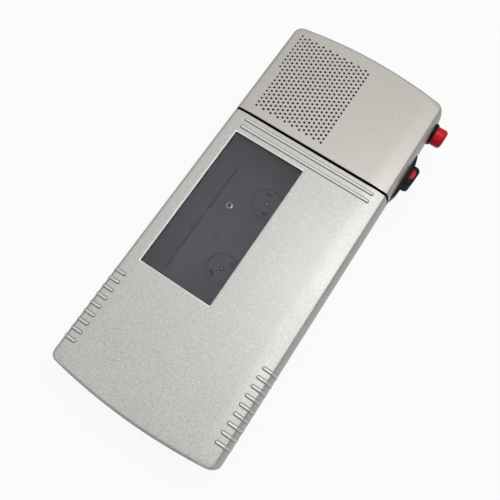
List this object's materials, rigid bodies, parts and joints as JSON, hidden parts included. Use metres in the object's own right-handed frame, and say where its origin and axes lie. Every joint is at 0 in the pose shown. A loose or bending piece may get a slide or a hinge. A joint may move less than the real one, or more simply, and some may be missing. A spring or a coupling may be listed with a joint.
{
  "type": "handheld dictation machine",
  "caption": "Slim silver handheld dictation recorder with a speaker grille, a hinged cassette lid with a smoked window, a red record button and a side slide switch.",
  "frame": {"origin": "middle of the flat back face that it lies on", "axes": "+Z from the back to the front face, +Y towards the speaker end, +X towards the side with the record button"},
  "size_m": [0.0678, 0.1454, 0.0244],
  "materials": {
    "silver_shell": "fine metallic paint on moulded plastic",
    "smoked_pane": "clear smoked acrylic",
    "black_plastic": "fine moulded grain",
    "red_plastic": "smooth moulded",
    "deck_plastic": "moulded, satin",
    "steel": "bright",
    "brass": "turned",
    "rubber": "matte",
    "cell_jacket": "plain printed jacket, without words",
    "board": "solder-masked circuit board",
    "chip": "moulded",
    "can": "sleeved can",
    "felt": "thin black felt",
    "cone_paper": "pressed paper",
    "magnet": "plated",
    "ivory_plastic": "moulded"
  },
  "bodies": {
    "casing": {"rear_shell": "silver_shell", "upper_cover": "silver_shell", "lid_hinge_pin": "steel", "lid_catch": "steel", "dust_seal": "felt", "casing_screws": "steel", "battery_tray": "deck_plastic", "battery_cells": "cell_jacket", "battery_contacts": "brass", "battery_springs": "steel", "record_button_bezel": "black_plastic", "record_switch": "black_plastic", "slide_track": "black_plastic", "slide_contact_switch": "black_plastic", "control_board": "board", "main_board": "board", "board_chips": "chip", "board_capacitors": "can", "volume_pot": "steel", "earphone_jack": "black_plastic", "speaker_frame": "steel", "speaker_cone": "cone_paper", "speaker_magnet": "magnet", "grille_cloth": "felt", "microphone": "steel", "microphone_boot": "rubber", "cassette_deck": "deck_plastic", "mechanism_base": "steel", "spindle_axles": "steel", "capstan_bush": "brass", "drive_motor": "steel", "drive_belt": "rubber", "idler_axle": "steel", "guide_pin": "steel"},
    "lid": {"cassette_lid": "silver_shell", "window_pane": "smoked_pane"},
    "record_button": {"record_button": "red_plastic"},
    "slide_switch": {"slide_knob": "black_plastic", "slide_knob_inlay": "red_plastic", "control_rod": "steel"},
    "head_carriage": {"head_carriage": "steel", "carriage_pins": "steel", "tape_head": "steel", "erase_head": "ivory_plastic"},
    "pinch_roller": {"pinch_roller": "rubber"},
    "volume_wheel": {"volume_wheel": "black_plastic"},
    "battery_door": {"battery_door": "silver_shell"},
    "takeup_spindle": {"takeup_spindle": "deck_plastic"},
    "supply_spindle": {"supply_spindle": "deck_plastic"},
    "flywheel": {"flywheel": "brass", "capstan_shaft": "steel"},
    "motor_pulley": {"motor_pulley": "brass"},
    "idler": {"idler_wheel": "ivory_plastic", "idler_tyre": "rubber"}
  },
  "joints": [
    {"name": "lid_hinge", "type": "hinge", "parent": "casing", "child": "lid", "pos_m": [0, -0.0704, 0.0118], "axis": [1, 0, 0], "range_deg": [0, 80]},
    {"name": "record_press", "type": "slide", "parent": "casing", "child": "record_button", "axis": [-1, 0, 0], "range_m": [0, 0.0015], "stiffness_N_per_m": 600, "springref_m": -0.001},
    {"name": "slide_run", "type": "slide", "parent": "casing", "child": "slide_switch", "axis": [0, 1, 0], "range_m": [-0.0025, 0.0025]},
    {"name": "carriage_slide", "type": "slide", "parent": "casing", "child": "head_carriage", "axis": [1, 0, 0], "range_m": [-0.001, 0.001]},
    {"name": "roller_spin", "type": "hinge", "parent": "head_carriage", "child": "pinch_roller", "pos_m": [0.0237, -0.012, 0.017], "axis": [0, 0, 1], "continuous": true},
    {"name": "volume_turn", "type": "hinge", "parent": "casing", "child": "volume_wheel", "pos_m": [-0.0242, 0.04605, 0.0093], "axis": [0, 0, 1], "range_deg": [-135, 135]},
    {"name": "door_slide", "type": "slide", "parent": "casing", "child": "battery_door", "axis": [0, -1, 0], "range_m": [0, 0.034]},
    {"name": "flywheel_spin", "type": "hinge", "parent": "casing", "child": "flywheel", "pos_m": [0.0184, -0.012, 0.005], "axis": [0, 0, 1], "continuous": true},
    {"name": "motor_spin", "type": "hinge", "parent": "casing", "child": "motor_pulley", "pos_m": [-0.01652, -0.0043, 0.005], "axis": [0, 0, 1], "continuous": true},
    {"name": "idler_spin", "type": "hinge", "parent": "casing", "child": "idler", "pos_m": [0.00924, -0.00305, 0.01], "axis": [0, 0, 1], "continuous": true},
    {"name": "takeup_spin", "type": "hinge", "parent": "casing", "child": "takeup_spindle", "pos_m": [-0.0035, 0.0094, 0.011], "axis": [0, 0, 1], "continuous": true},
    {"name": "supply_spin", "type": "hinge", "parent": "casing", "child": "supply_spindle", "pos_m": [-0.0035, -0.018, 0.011], "axis": [0, 0, 1], "continuous": true}
  ],
  "couplings": [
    {"joint": "carriage_slide", "follows": "slide_run", "ratio": -0.4},
    {"joint": "motor_spin", "follows": "flywheel_spin", "ratio": 3.7059},
    {"joint": "idler_spin", "follows": "flywheel_spin", "ratio": -0.30738},
    {"joint": "takeup_spin", "follows": "flywheel_spin", "ratio": 0.375}
  ]
}
